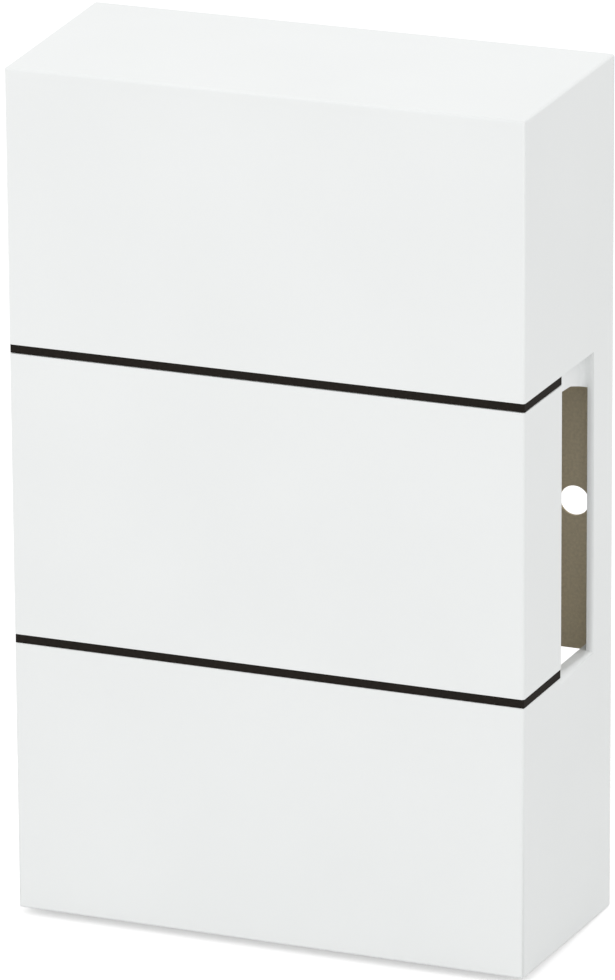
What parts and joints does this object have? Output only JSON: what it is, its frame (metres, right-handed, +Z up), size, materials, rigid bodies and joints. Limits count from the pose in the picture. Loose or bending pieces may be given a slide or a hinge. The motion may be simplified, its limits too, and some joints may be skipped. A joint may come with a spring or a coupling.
{
  "type": "doorbell chime box",
  "caption": "White wall box for an electromechanical doorbell chime, with a wrap-round clip-on front panel, dark shadow lines, side sound outlets and a sprung striker between tone bars.",
  "frame": {"origin": "middle of the wall face, where the base lies on the wall", "axes": "+X to the right seen from the front, +Y into the wall, +Z up"},
  "size_m": [0.09, 0.038, 0.145],
  "materials": {
    "white_plastic": "fine satin moulding",
    "panel_plastic": "fine satin moulding",
    "dark_plastic": "matt moulding",
    "brown_plastic": "matt moulding",
    "bar_steel": "ground and plated",
    "zinc_steel": "zinc plated",
    "plunger_steel": "turned",
    "spring_steel": "drawn wire",
    "brass": "bright",
    "nylon": "natural",
    "black_rubber": "matt",
    "winding_tape": "wound tape",
    "block_plastic": "moulded",
    "lead_sleeve": "insulated wire"
  },
  "bodies": {
    "base": {"base": "brown_plastic", "tone_bar_left": "bar_steel", "tone_bar_right": "bar_steel", "bar_grommets": "black_rubber", "bar_clips": "zinc_steel", "yoke": "zinc_steel", "keeper": "zinc_steel", "bobbin": "nylon", "winding": "winding_tape", "guide_tube": "brass", "return_spring": "spring_steel", "yoke_screws": "zinc_steel", "terminal_block": "block_plastic", "terminal_sleeves": "brass", "terminal_screws": "zinc_steel", "block_screw": "zinc_steel", "lead_left": "lead_sleeve", "lead_right": "lead_sleeve"},
    "hood": {"hood": "white_plastic", "panel_tray": "dark_plastic"},
    "panel": {"front_panel": "panel_plastic"},
    "plunger": {"plunger": "plunger_steel", "striker_tip_left": "nylon", "striker_tip_right": "nylon", "spring_clip": "zinc_steel"}
  },
  "joints": [
    {"name": "plunger_slide", "type": "slide", "parent": "base", "child": "plunger", "axis": [1, 0, 0], "range_m": [-0.0024, 0.006], "stiffness_N_per_m": 60, "deforming": ["return_spring"]},
    {"name": "hood_pull", "type": "slide", "parent": "base", "child": "hood", "axis": [0, -1, 0], "range_m": [0, 0.045]},
    {"name": "panel_pull", "type": "slide", "parent": "hood", "child": "panel", "axis": [0, -1, 0], "range_m": [0, 0.025]}
  ]
}
